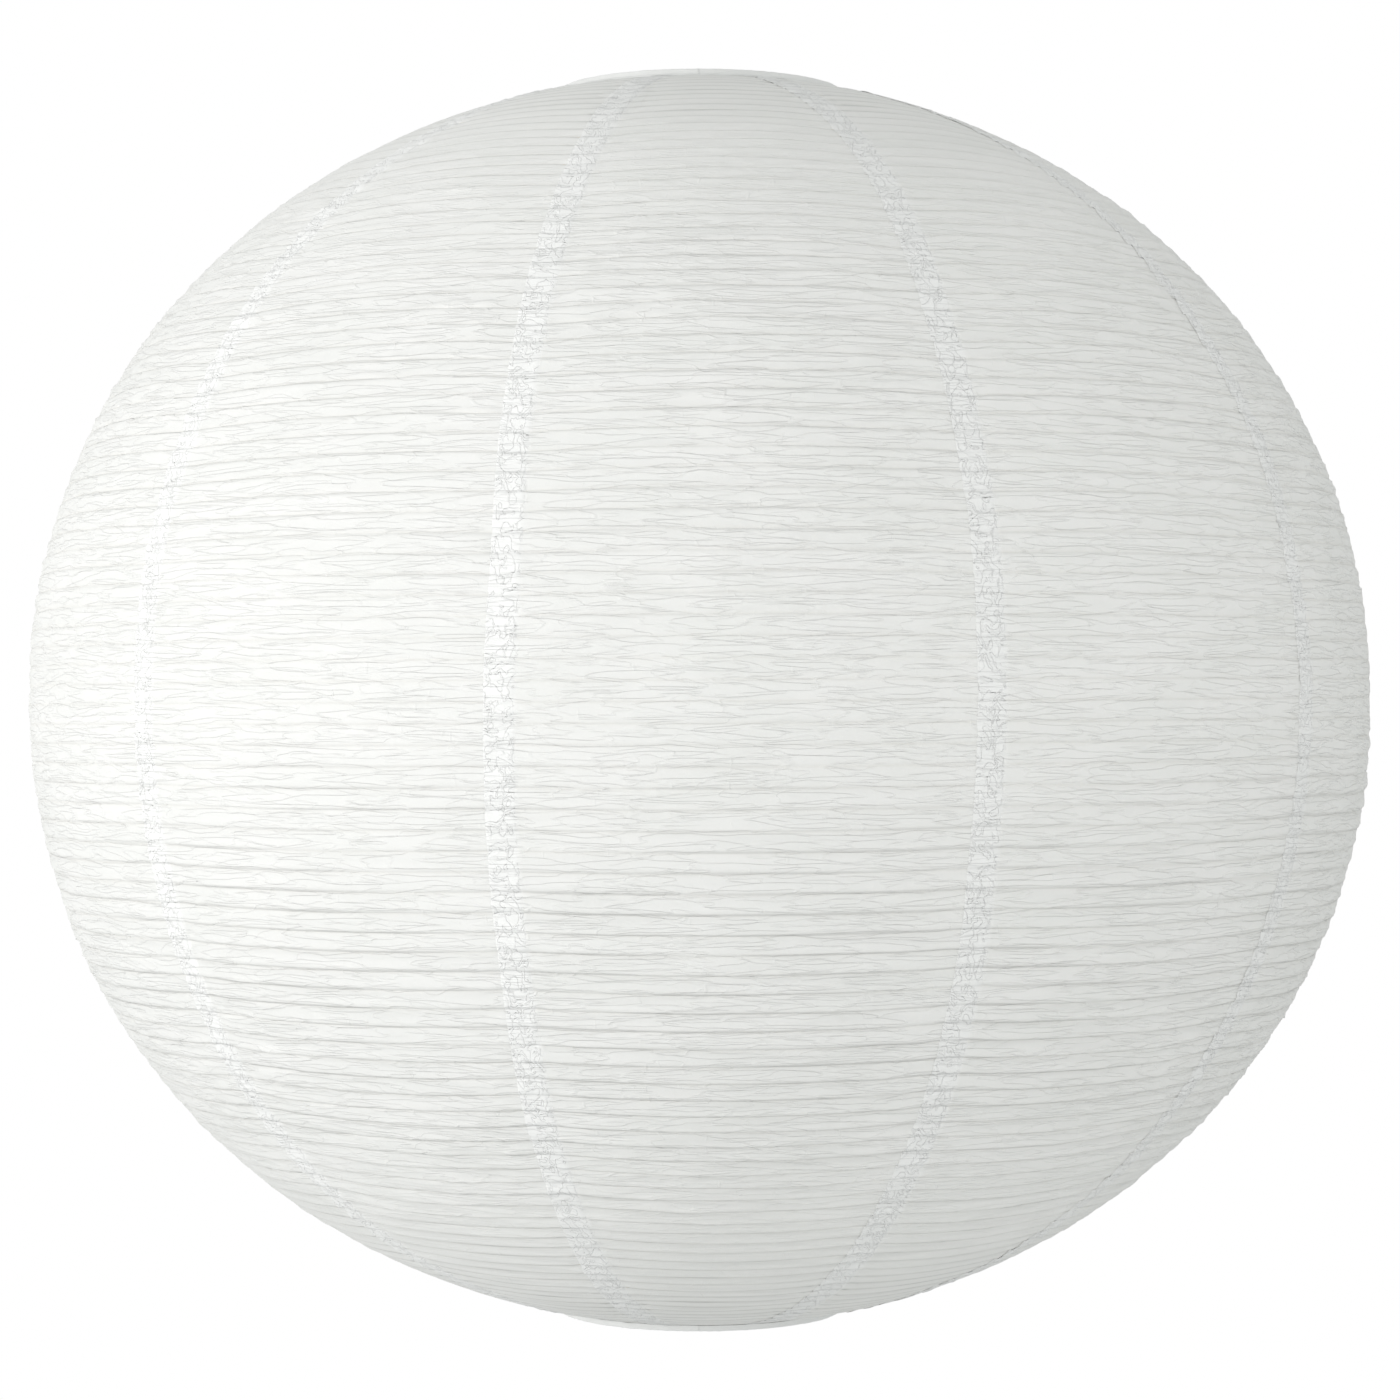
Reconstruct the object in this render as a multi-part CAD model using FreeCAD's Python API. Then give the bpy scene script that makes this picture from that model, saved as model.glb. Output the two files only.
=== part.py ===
"""Round paper lantern shade on a sprung wire stretcher, in millimetres.

The frame hangs from a lamp holder: the origin is the middle of the holder's hole in the spider
plate, +Z is up, and -Y is the front. Everything else is below the plate, round the Z axis.
"""
import FreeCAD, Part
import math
import os

from FreeCAD import Vector

# Paper globe: (radius / GLOBE_RADIUS)^p + (height / GLOBE_HALF_HEIGHT)^p = 1, on the outer face
GLOBE_RADIUS = 375.0
GLOBE_HALF_HEIGHT = 350.0
GLOBE_POWER = 2.037
PAPER = 0.3
GORE_END_RADIUS = 82.0
MERIDIAN_POINTS = 33

# Gores are cut by hand, so they differ: seam angles from the front towards +X, and the rest alike
FRONT_SEAMS_DEG = (-48.0, -14.5, 21.5, 55.5)
GORE_COUNT = 10

# Split bamboo rib: one spiral strip from mouth to mouth, just inside the paper
RIB_TURNS = 95
RIB_DEPTH = 0.7
RIB_HEIGHT = 1.0
RIB_GAP = 0.25
RIB_END_RADIUS = 84.0
WALK_STEPS = 20000
SEW_TOLERANCE = 1e-4

# Wire rings in the two mouths, each wrapped in a paper collar with a skirt glued on the gores
RING_RADIUS = 80.0
RING_WIRE = 1.5
RING_SPAN = 688.0
COLLAR_GAP = 0.1
COLLAR_SLIT_DEG = 24.0
COLLAR_SLIT_TILT_DEG = 45.0
SKIRT_GAP = 0.05
SKIRT_FROM = 80.9
SKIRT_TO = 91.0
SKIRT_POINTS = 5

# Spider plate: the lamp holder's ring and four arms that carry the top ring
PLATE = 1.6
HOLDER_HOLE_RADIUS = 21.0
PLATE_RING_RADIUS = 29.0
ARM_WIDTH = 14.0
ARM_REACH = 80.8
LUG_THICKNESS = 1.5
LUG_WIDTH = 8.0
LUG_HEIGHT = 4.4
LUG_ROOT = 0.5
LUG_INSET = 0.1
RING_CLEARANCE = 0.4

# Sprung legs, the sockets that hold their top ends, and the rivets that hold the sockets
LEG_X = 70.0
LEG_WIRE = 1.3
LEG_TOP_GAP = 1.0
SOCKET_RADIUS = 2.8
SOCKET_LENGTH = 24.0
SOCKET_FLOOR = 3.0
SOCKET_PLAY = 0.35
RIVET_SHANK = 1.2
RIVET_HEAD = 2.4
RIVET_HEAD_HEIGHT = 1.2
RIVET_ROUNDING = 0.72

# Foot clips: a barrel crimped on the leg, a stop inside the bottom ring and a lip over it
CLIP_BARREL_RADIUS = 2.6
CLIP_ABOVE = 9.0
CLIP_BELOW = 5.0
CLIP_WIDTH = 10.0
CLIP_LIP = 1.5
CLIP_STOP_DROP = 2.0

# Worked out from the dimensions above
COLLAR_OUTER = RING_WIRE + COLLAR_GAP + PAPER
TOP_RING_Z = PLATE / 2 + RING_CLEARANCE + COLLAR_OUTER
BOTTOM_RING_Z = TOP_RING_Z - RING_SPAN
MIDDLE_Z = (TOP_RING_Z + BOTTOM_RING_Z) / 2
RING_INSIDE = RING_RADIUS - COLLAR_OUTER
LUG_FACE = RING_INSIDE - RING_CLEARANCE - LUG_INSET
SIDES = {"left": -1, "right": 1}
UP = Vector(0, 0, 1)
CENTRE = Vector(0, 0, 0)


def globe_point(turn):
    """Radius and height above the middle of the globe's outer face, for turn from -90 to 90 degrees."""
    power = 2 / GLOBE_POWER
    radius = GLOBE_RADIUS * math.cos(turn) ** power
    height = GLOBE_HALF_HEIGHT * math.copysign(abs(math.sin(turn)) ** power, turn)
    return radius, height


def globe_normal(turn):
    """Outward unit normal of the globe's outline, as a radius and a height part."""
    radius, height = globe_point(turn)
    across = (radius / GLOBE_RADIUS) ** (GLOBE_POWER - 1) / GLOBE_RADIUS
    along = (abs(height) / GLOBE_HALF_HEIGHT) ** (GLOBE_POWER - 1) / GLOBE_HALF_HEIGHT
    length = math.hypot(across, along)
    return across / length, math.copysign(along, turn) / length


def turn_at_radius(radius):
    """The turn, in the upper half, where the globe's outer face has this radius."""
    return math.acos((radius / GLOBE_RADIUS) ** (GLOBE_POWER / 2))


def offset_point(turn, inward):
    """Point of the globe's outline moved inward from the outer face, in the XZ plane."""
    radius, height = globe_point(turn)
    across, along = globe_normal(turn)
    return Vector(radius - inward * across, 0, MIDDLE_Z + height - inward * along)


def outline(start, end, inward, points):
    """Smooth curve along the globe's outline between two turns."""
    steps = [start + (end - start) * i / (points - 1) for i in range(points)]
    curve = Part.BSplineCurve()
    curve.interpolate([offset_point(turn, inward) for turn in steps])
    return curve.toShape()


def strip_face(start, end, outer, inner, points):
    """Face between two outlines, closed at both ends."""
    far = outline(start, end, outer, points)
    near = outline(start, end, inner, points)
    ends = [Part.makeLine(offset_point(turn, outer), offset_point(turn, inner)) for turn in (start, end)]
    return Part.Face(Part.Wire(Part.__sortEdges__([far, near] + ends)))


def seam_angles():
    """Where each gore starts, in degrees from the front towards +X."""
    first, last = FRONT_SEAMS_DEG[0], FRONT_SEAMS_DEG[-1]
    rest = GORE_COUNT - len(FRONT_SEAMS_DEG) + 1
    step = (360.0 - (last - first)) / rest
    return list(FRONT_SEAMS_DEG) + [last + step * i for i in range(1, rest)]


def paper_gores():
    """Ten curved strips of paper that meet at their seams."""
    end = turn_at_radius(GORE_END_RADIUS)
    face = strip_face(-end, end, 0, PAPER, MERIDIAN_POINTS)
    starts = seam_angles()
    gores = {}
    for number, start in enumerate(starts, 1):
        stop = starts[number] if number < len(starts) else starts[0] + 360.0
        profile = face.copy()
        profile.rotate(CENTRE, UP, start - 90.0)
        gores[f"paper_gore_{number:02d}"] = profile.revolve(CENTRE, UP, stop - start)
    return gores


def rib_turns():
    """Turn of the outline at each end of the spiral's half turns, evenly spaced along the paper."""
    end = turn_at_radius(RIB_END_RADIUS)
    turns = [-end + 2 * end * i / WALK_STEPS for i in range(WALK_STEPS + 1)]
    walked = [0.0]
    for before, after in zip(turns, turns[1:]):
        walked.append(walked[-1] + math.dist(globe_point(before), globe_point(after)))
    found = []
    place = 0
    for half in range(2 * RIB_TURNS + 1):
        target = walked[-1] * half / (2 * RIB_TURNS)
        while walked[place] < target:
            place += 1
        found.append(turns[place])
    return found


def half_turn_edge(start, stop):
    """Half circle from start to stop, both in the XZ plane, that leaves and arrives along Y."""
    middle = (start + stop) / 2
    bulge = Vector(0, (stop - start).Length / 2, 0)
    if stop.x > start.x:
        bulge = bulge * -1
    return Part.Arc(start, middle + bulge, stop).toShape()


def strip_corners(point):
    """Corners of the bamboo strip's section round a point in the XZ plane."""
    side = 1 if point.x > 0 else -1
    deep, tall = side * RIB_DEPTH / 2, RIB_HEIGHT / 2
    corners = ((deep, -tall), (deep, tall), (-deep, tall), (-deep, -tall))
    return [point + Vector(x, 0, z) for x, z in corners]


def bamboo_rib():
    """One thin bamboo strip wound as a spiral inside the paper, from half turns that meet with no kink.

    The spiral crosses the XZ plane twice a turn. Each corner of the strip runs from one crossing to
    the next along a half circle that rises by half the pitch.
    """
    inward = PAPER + RIB_GAP + RIB_DEPTH / 2
    points = [offset_point(turn, inward) for turn in rib_turns()]
    crossings = [Vector(point.x * (-1) ** half, 0, point.z) for half, point in enumerate(points)]
    faces = []
    for start, stop in zip(crossings, crossings[1:]):
        edges = [half_turn_edge(a, b) for a, b in zip(strip_corners(start), strip_corners(stop))]
        for edge, following in zip(edges, edges[1:] + edges[:1]):
            faces.append(Part.makeRuledSurface(edge, following))
    for point in (crossings[0], crossings[-1]):
        corners = strip_corners(point)
        faces.append(Part.Face(Part.makePolygon(corners + corners[:1])))
    skin = Part.Compound(faces)
    skin.sewShape(SEW_TOLERANCE)
    solid = Part.Solid(skin.Shells[0])
    if solid.Volume < 0:
        solid.reverse()
    return solid


def ring(height):
    """Closed wire ring in a mouth of the shade."""
    return Part.makeTorus(RING_RADIUS, RING_WIRE, Vector(0, 0, height), UP)


def arc_edge(centre, radius, start_deg, end_deg):
    """Arc in the XZ plane, anticlockwise from start to end, angles from +X towards +Z."""
    def at(angle):
        return centre + Vector(radius * math.cos(angle), 0, radius * math.sin(angle))
    start, end = math.radians(start_deg), math.radians(end_deg)
    return Part.Arc(at(start), at((start + end) / 2), at(end)).toShape()


def collar(height, side):
    """Paper wrapped round a ring, open in a slit towards the inside, with a skirt on the gores."""
    centre = Vector(RING_RADIUS, 0, height)
    slit = 180.0 + side * COLLAR_SLIT_TILT_DEG
    start, end = slit + COLLAR_SLIT_DEG / 2, slit + 360.0 - COLLAR_SLIT_DEG / 2
    outside = arc_edge(centre, COLLAR_OUTER, start, end)
    inside = arc_edge(centre, COLLAR_OUTER - PAPER, start, end)
    lips = [
        Part.makeLine(outside.Vertexes[0].Point, inside.Vertexes[0].Point),
        Part.makeLine(outside.Vertexes[-1].Point, inside.Vertexes[-1].Point),
    ]
    wrap = Part.Face(Part.Wire(Part.__sortEdges__([outside, inside] + lips)))
    from_turn = side * turn_at_radius(SKIRT_FROM)
    to_turn = side * turn_at_radius(SKIRT_TO)
    skirt = strip_face(from_turn, to_turn, -SKIRT_GAP - PAPER, -SKIRT_GAP, SKIRT_POINTS)
    whole = wrap.revolve(CENTRE, UP, 360).fuse(skirt.revolve(CENTRE, UP, 360))
    return whole.removeSplitter()


def spider_plate():
    """Stamped plate: a ring for the lamp holder, and four arms with lugs bent up inside the top ring."""
    low = Vector(0, 0, -PLATE / 2)
    plate = Part.makeCylinder(PLATE_RING_RADIUS, PLATE, low)
    for quarter in range(4):
        arm = Part.makeBox(ARM_REACH, ARM_WIDTH, PLATE, Vector(0, -ARM_WIDTH / 2, -PLATE / 2))
        lug_corner = Vector(LUG_FACE - LUG_THICKNESS, -LUG_WIDTH / 2, PLATE / 2 - LUG_ROOT)
        lug = Part.makeBox(LUG_THICKNESS, LUG_WIDTH, LUG_HEIGHT + LUG_ROOT, lug_corner)
        branch = arm.fuse(lug)
        branch.rotate(CENTRE, UP, 90 * quarter)
        plate = plate.fuse(branch)
    reach = Part.makeCylinder(ARM_REACH, PLATE + LUG_HEIGHT, low)
    plate = plate.common(reach).cut(Part.makeCylinder(HOLDER_HOLE_RADIUS, PLATE, low))
    for side in SIDES.values():
        plate = plate.cut(Part.makeCylinder(RIVET_SHANK, PLATE, Vector(side * LEG_X, 0, -PLATE / 2)))
    return plate.removeSplitter()


def leg_socket(side):
    """Small cup under an arm: closed at the top, bored from below with play for the leg's end."""
    top = -PLATE / 2
    place = Vector(side * LEG_X, 0, top - SOCKET_LENGTH)
    cup = Part.makeCylinder(SOCKET_RADIUS, SOCKET_LENGTH, place)
    bore = Part.makeCylinder(LEG_WIRE + SOCKET_PLAY, SOCKET_LENGTH - SOCKET_FLOOR, place)
    rivet_hole = Part.makeCylinder(RIVET_SHANK, SOCKET_FLOOR, Vector(side * LEG_X, 0, top - SOCKET_FLOOR))
    return cup.cut(bore).cut(rivet_hole)


def socket_rivet(side):
    """Rivet down through the arm into the floor of the socket."""
    shank_length = PLATE + SOCKET_FLOOR
    shank = Part.makeCylinder(RIVET_SHANK, shank_length, Vector(side * LEG_X, 0, PLATE / 2 - shank_length))
    head = Part.makeCylinder(RIVET_HEAD, RIVET_HEAD_HEIGHT, Vector(side * LEG_X, 0, PLATE / 2))
    head = head.makeFillet(RIVET_ROUNDING, [head.Edges[0]])
    return shank.fuse(head).removeSplitter()


def leg(side):
    """Straight sprung wire from its socket down to its foot clip."""
    top = -PLATE / 2 - SOCKET_FLOOR - LEG_TOP_GAP
    bottom = BOTTOM_RING_Z - CLIP_BELOW
    return Part.makeCylinder(LEG_WIRE, top - bottom, Vector(side * LEG_X, 0, bottom))


def foot_clip(side):
    """Clip on a leg's lower end, for the right-hand leg, turned half round for the left."""
    barrel_low = Vector(LEG_X, 0, BOTTOM_RING_Z - CLIP_BELOW)
    barrel = Part.makeCylinder(CLIP_BARREL_RADIUS, CLIP_BELOW + CLIP_ABOVE, barrel_low)
    lip_low = BOTTOM_RING_Z + COLLAR_OUTER + RING_CLEARANCE
    stop_low = BOTTOM_RING_Z - CLIP_STOP_DROP
    stop_size = (LUG_FACE - LEG_X, CLIP_WIDTH, lip_low + CLIP_LIP - stop_low)
    stop = Part.makeBox(*stop_size, Vector(LEG_X, -CLIP_WIDTH / 2, stop_low))
    lip = Part.makeBox(ARM_REACH - LEG_X, CLIP_WIDTH, CLIP_LIP, Vector(LEG_X, -CLIP_WIDTH / 2, lip_low))
    clip = barrel.fuse([stop, lip]).cut(Part.makeCylinder(LEG_WIRE, CLIP_BELOW + CLIP_ABOVE, barrel_low))
    clip = clip.removeSplitter()
    if side < 0:
        clip.rotate(CENTRE, UP, 180)
    return clip


def build():
    """Every piece of the lantern, by name."""
    parts = {
        "spider_plate": spider_plate(),
        "top_ring": ring(TOP_RING_Z),
        "bottom_ring": ring(BOTTOM_RING_Z),
        "top_collar": collar(TOP_RING_Z, 1),
        "bottom_collar": collar(BOTTOM_RING_Z, -1),
        "bamboo_rib": bamboo_rib(),
    }
    parts.update(paper_gores())
    for name, side in SIDES.items():
        parts[f"leg_socket_{name}"] = leg_socket(side)
        parts[f"socket_rivet_{name}"] = socket_rivet(side)
        parts[f"leg_{name}"] = leg(side)
        parts[f"foot_clip_{name}"] = foot_clip(side)
    return parts


def main():
    """Write one STEP file per piece, and print its size for a check by eye."""
    os.makedirs("parts", exist_ok=True)
    for name, shape in build().items():
        box = shape.BoundBox
        print(f"{name}: {len(shape.Solids)} solid, valid {shape.isValid()}, volume {shape.Volume:.1f} mm3,"
              f" x {box.XMin:.1f}..{box.XMax:.1f}, z {box.ZMin:.1f}..{box.ZMax:.1f}")
        shape.exportStep(f"parts/{name}.step")


main()
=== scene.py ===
import math

import bpy
import numpy as np
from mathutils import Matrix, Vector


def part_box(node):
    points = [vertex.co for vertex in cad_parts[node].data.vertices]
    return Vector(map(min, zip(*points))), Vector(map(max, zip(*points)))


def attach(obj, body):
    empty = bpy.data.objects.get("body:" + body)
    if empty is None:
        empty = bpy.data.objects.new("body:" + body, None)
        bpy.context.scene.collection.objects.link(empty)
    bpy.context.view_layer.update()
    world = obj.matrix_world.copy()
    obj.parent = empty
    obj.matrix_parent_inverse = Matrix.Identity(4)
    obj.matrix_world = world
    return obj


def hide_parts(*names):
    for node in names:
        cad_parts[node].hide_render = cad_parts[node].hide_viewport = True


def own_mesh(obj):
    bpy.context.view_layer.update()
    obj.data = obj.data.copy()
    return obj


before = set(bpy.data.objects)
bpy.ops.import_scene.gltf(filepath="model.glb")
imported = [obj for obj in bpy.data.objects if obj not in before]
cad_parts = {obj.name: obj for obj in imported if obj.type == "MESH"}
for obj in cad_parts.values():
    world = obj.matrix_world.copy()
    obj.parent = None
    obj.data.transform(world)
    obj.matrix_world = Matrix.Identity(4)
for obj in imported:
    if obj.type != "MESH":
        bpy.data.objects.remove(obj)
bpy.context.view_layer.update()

# Sizes are in metres, in the frame of the CAD: -Y is the front, and seam angles run from it to +X.
MM = 0.001

# Globe outline: (radius / widest)^p + (height / half height)^p = 1
GLOBE_POWER = 2.037
GORES = sorted(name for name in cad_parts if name.startswith("paper_gore"))
FRONT_SEAMS_DEG = (-48.0, -14.5, 21.5, 55.5)

# Bamboo rib, just inside the paper. It starts a part of a turn from the mouth, and is pulled toward
# the equator at the seams.
RIB_TURNS = 95
RIB_START = 0.08
RIB_ARCH = 0.016
RIB_THICKNESS = 0.7 * MM
RIB_HEIGHT = 1.0 * MM
RIB_INSIDE = 0.7 * MM
RIB_STATIONS_A_TURN = 130

# Paper bands between the rib's turns
BAND_BELLY = 0.55 * MM
BAND_LEAN = 1.7 * MM
BAND_STEPS = (0.0, 0.035, 0.09, 0.17, 0.32, 0.5, 0.68, 0.83, 0.91, 0.965)
TUCK_FROM = 0.84
LEAN_FROM_EQUATOR = 0.11
LOWEST_PAPER = -0.2 * MM

# Distances from the equator, in shares of the meridian: the bands grow flatter from the first to the
# second toward a mouth, and the creases grow fainter from the third to the fourth
POLAR_FROM = 0.27
POLAR_FULL = 0.46
CALM_FROM = 0.2
CALM_FULL = 0.42

# Painted shade in the folds and along the rib: everywhere, added in the lower half, added at the mouths
FOLD_PAINTED_SHADE = (0.5, 0.75, 0.6)
RIB_LINE_PAINTED_SHADE = (0.42, 0.3, 0.6)
LINE_PLACE = 0.955
LINE_WIDTH = 0.06
LINE_WIDER_AT_MOUTHS = 0.14

# Creases: slope against the rib, then length, width and depth in millimetres
LONG_CREASES = ((0.05, 75, 4.2, 0.26), (-0.09, 48, 3.1, 0.2), (0.16, 34, 2.6, 0.13))
BRANCHING_CREASES = ((-0.32, 17, 3.4, 0.14), (0.38, 15, 3.2, 0.12))

# Lapped seams; the columns are distances from the lap's own edge
LAP = 15 * MM
LAP_STEP = 0.28 * MM
LAP_LOOSE = 0.35 * MM
LAP_COLUMNS = tuple(x * MM for x in (0, 0.5, 2.5, 5, 7.5, 10, 12.5, 14.4, 15.2, 17))
MIDDLE_COLUMNS = 46
SEAM_WOBBLE = 1.3 * MM
FINE_PUCKER = 0.5 * MM
COARSE_PUCKER = 0.3 * MM
PUCKER_REACH = 6.5 * MM

# Collars: how far each skirt reaches past its ring, and how far its edge stands off the gores.
# The bottom skirt is shorter and looser, because the shade folds flat over it.
TOP_SKIRT_REACH = 3.6 * MM
TOP_SKIRT_EDGE = 0.12 * MM
BOTTOM_SKIRT_REACH = 1.7 * MM
BOTTOM_SKIRT_EDGE = 0.3 * MM
SKIRT_START = 2.4 * MM
SKIRT_START_LIFT = 0.95 * MM
WRAP_GAP = 0.25 * MM
WRAP_FROM_DEG = 268
WRAP_TO_DEG = 38
COLLAR_COLUMNS = 420

# Camera, in front of the globe
CAMERA_DISTANCE = 2.0625
CAMERA_LENS = 93.06
CAMERA_SENSOR = 36.0

# Studio: pale floor that bends up into a backdrop
FLOOR_BELOW = 0.42
STAGE_HALF_WIDTH = 6.0
STAGE_FRONT = -5.0
BACKDROP_FROM = 3.2
BACKDROP_BEND = 1.6
BACKDROP_HEIGHT = 6.0

# Studio light
SURROUND = 0.77
OVERHEAD = 0.6
FLOOR_GLOW = 0.72
SURROUND_COLOUR = (0.975, 1.0, 0.995, 1)
KEY_WATTS = 68
FRONT_WATTS = 34
LIGHT_SIZE = 1.0
LIGHT_COLOUR = (1.0, 0.985, 0.985)

# Paper: white and clouded parts, greyer on the collars as painted shade, and where two sheets are glued
# together
GORE_WHITE = (0.935, 0.935, 0.925, 1)
GORE_CLOUD = (0.905, 0.91, 0.895, 1)
GORE_SEE_THROUGH = 0.27
# The collars are the same paper as the gores, greyed as painted shade
COLLAR_SHADED_WHITE = (0.84, 0.845, 0.83, 1)
COLLAR_SHADED_CLOUD = (0.80, 0.805, 0.79, 1)
COLLAR_SEE_THROUGH = 0.12
# Whiter where two sheets are glued: partly the doubled paper, partly a painted highlight
DOUBLED_PAPER_AND_HIGHLIGHT = (0.985, 0.985, 0.98, 1)

# Sizes read from the frame
TOP_RING = [np.array(corner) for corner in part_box("top_ring")]
BOTTOM_RING = [np.array(corner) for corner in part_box("bottom_ring")]
TOP_Z = (TOP_RING[0][2] + TOP_RING[1][2]) / 2
BOTTOM_Z = (BOTTOM_RING[0][2] + BOTTOM_RING[1][2]) / 2
MIDDLE_Z = (TOP_Z + BOTTOM_Z) / 2
RING_WIRE = (TOP_RING[1][2] - TOP_RING[0][2]) / 2
RING_RADIUS = TOP_RING[1][0] - RING_WIRE
GORE_BOXES = [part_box(name) for name in GORES]
GLOBE_RADIUS = max(box[1][0] for box in GORE_BOXES)
GORE_TOP = max(box[1][2] for box in GORE_BOXES) - MIDDLE_Z
GORE_END_RADIUS = 82 * MM
HALF_HEIGHT = GORE_TOP / (1 - (GORE_END_RADIUS / GLOBE_RADIUS) ** GLOBE_POWER) ** (1 / GLOBE_POWER)


# ---------------------------------------------------------------- smooth random fields

def random_field(seed, wrap=512):
    """Smooth random values from -1 to 1 over a plane, the same each run."""
    table = np.random.default_rng(seed).uniform(-1, 1, (wrap, wrap))

    def sample(x, y):
        x, y = np.broadcast_arrays(x, y)
        left, low = np.floor(x).astype(int), np.floor(y).astype(int)
        across, up = x - left, y - low
        across, up = across * across * (3 - 2 * across), up * up * (3 - 2 * up)
        corner = table[left % wrap, low % wrap]
        right = table[(left + 1) % wrap, low % wrap]
        above = table[left % wrap, (low + 1) % wrap]
        far = table[(left + 1) % wrap, (low + 1) % wrap]
        bottom = corner + (right - corner) * across
        top = above + (far - above) * across
        return bottom + (top - bottom) * up

    return sample


def smooth_step(low, high, value):
    """0 below the low value, 1 above the high one, with an even ease between."""
    share = np.clip((value - low) / (high - low), 0, 1)
    return share * share * (3 - 2 * share)


BAND_FIELD = random_field(11)
CREASE_FIELD = random_field(12)
FINE_CREASE_FIELD = random_field(13)
STRENGTH_FIELD = random_field(14)
PUCKER_FIELD = random_field(15)
WOBBLE_FIELD = random_field(16)
LIFT_FIELD = random_field(17)


# ---------------------------------------------------------------- the globe's surface

def outline_table():
    """Arc length, radius, height and outward normal along the globe, from bottom mouth to top mouth."""
    end = math.acos((GORE_END_RADIUS / GLOBE_RADIUS) ** (GLOBE_POWER / 2))
    turn = np.linspace(-end, end, 6001)
    radius = GLOBE_RADIUS * np.cos(turn) ** (2 / GLOBE_POWER)
    height = HALF_HEIGHT * np.sign(turn) * np.abs(np.sin(turn)) ** (2 / GLOBE_POWER)
    walked = np.concatenate([[0], np.cumsum(np.hypot(np.diff(radius), np.diff(height)))])
    across = (radius / GLOBE_RADIUS) ** (GLOBE_POWER - 1) / GLOBE_RADIUS
    along = np.sign(turn) * (np.abs(height) / HALF_HEIGHT) ** (GLOBE_POWER - 1) / HALF_HEIGHT
    length = np.hypot(across, along)
    return walked, radius, height, across / length, along / length


WALKED, RADII, HEIGHTS, NORMALS_OUT, NORMALS_UP = outline_table()
MERIDIAN = WALKED[-1]


def radius_at(share):
    """Radius of the globe at a share of the meridian."""
    return np.interp(share * MERIDIAN, WALKED, RADII)


def globe_points(share, angle, lift):
    """Points at a share of the meridian and an angle from the front, lifted out of the surface."""
    walked = share * MERIDIAN
    radius = np.interp(walked, WALKED, RADII) + lift * np.interp(walked, WALKED, NORMALS_OUT)
    height = np.interp(walked, WALKED, HEIGHTS) + lift * np.interp(walked, WALKED, NORMALS_UP)
    return np.stack([radius * np.sin(angle), -radius * np.cos(angle), MIDDLE_Z + height], axis=-1)


EVEN_GORES = len(GORES) - len(FRONT_SEAMS_DEG) + 1
GORES_BEFORE_FRONT = EVEN_GORES // 2


def seam_angles():
    """Angles of all seams once round, in order, in radians; the first is at the back."""
    first, last = FRONT_SEAMS_DEG[0], FRONT_SEAMS_DEG[-1]
    step = (360.0 - (last - first)) / EVEN_GORES
    before = [first - step * i for i in range(GORES_BEFORE_FRONT, 0, -1)]
    after = [last + step * i for i in range(1, EVEN_GORES - GORES_BEFORE_FRONT + 1)]
    return np.radians(before + list(FRONT_SEAMS_DEG) + after)


SEAMS = seam_angles()


def arch_weight(angle):
    """0 in the middle of a gore and 1 at its seams, for any angle."""
    first, turn = SEAMS[0], 2 * math.pi
    inside = first + (angle - first) % turn
    gore = np.clip(np.searchsorted(SEAMS, inside, side="right") - 1, 0, len(GORES) - 1)
    middle = (SEAMS[gore] + SEAMS[gore + 1]) / 2
    half = (SEAMS[gore + 1] - SEAMS[gore]) / 2
    return ((inside - middle) / half) ** 2


def rib_share(line, angle):
    """Share of the meridian where the rib line of this number crosses this angle.

    The rib climbs one pitch a turn, and lies closer to the equator at the seams."""
    turned = (angle - SEAMS[0]) / (2 * math.pi)
    even = (line + RIB_START + turned) / (RIB_TURNS + 2 * RIB_START)
    pulled = 0.5 + (even - 0.5) / (1 + RIB_ARCH * arch_weight(angle))
    return np.clip(pulled, 0, 1)


def seam_shift(seam, share):
    """How far a hand-laid seam wanders to the side."""
    return SEAM_WOBBLE * WOBBLE_FIELD(share * 14, seam % len(GORES) * 7.3)


# ---------------------------------------------------------------- shape of the paper

def toward_pole(share):
    """-1 in the lower half, 1 in the upper half, with an even change near the equator."""
    return np.tanh((share - 0.5) / LEAN_FROM_EQUATOR)


def painted_shade_strength(strengths, lower, polar):
    """Strength of a painted shade, from its share everywhere, in the lower half and at the mouths."""
    everywhere, below, at_mouths = strengths
    return everywhere + below * lower + at_mouths * polar


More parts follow.
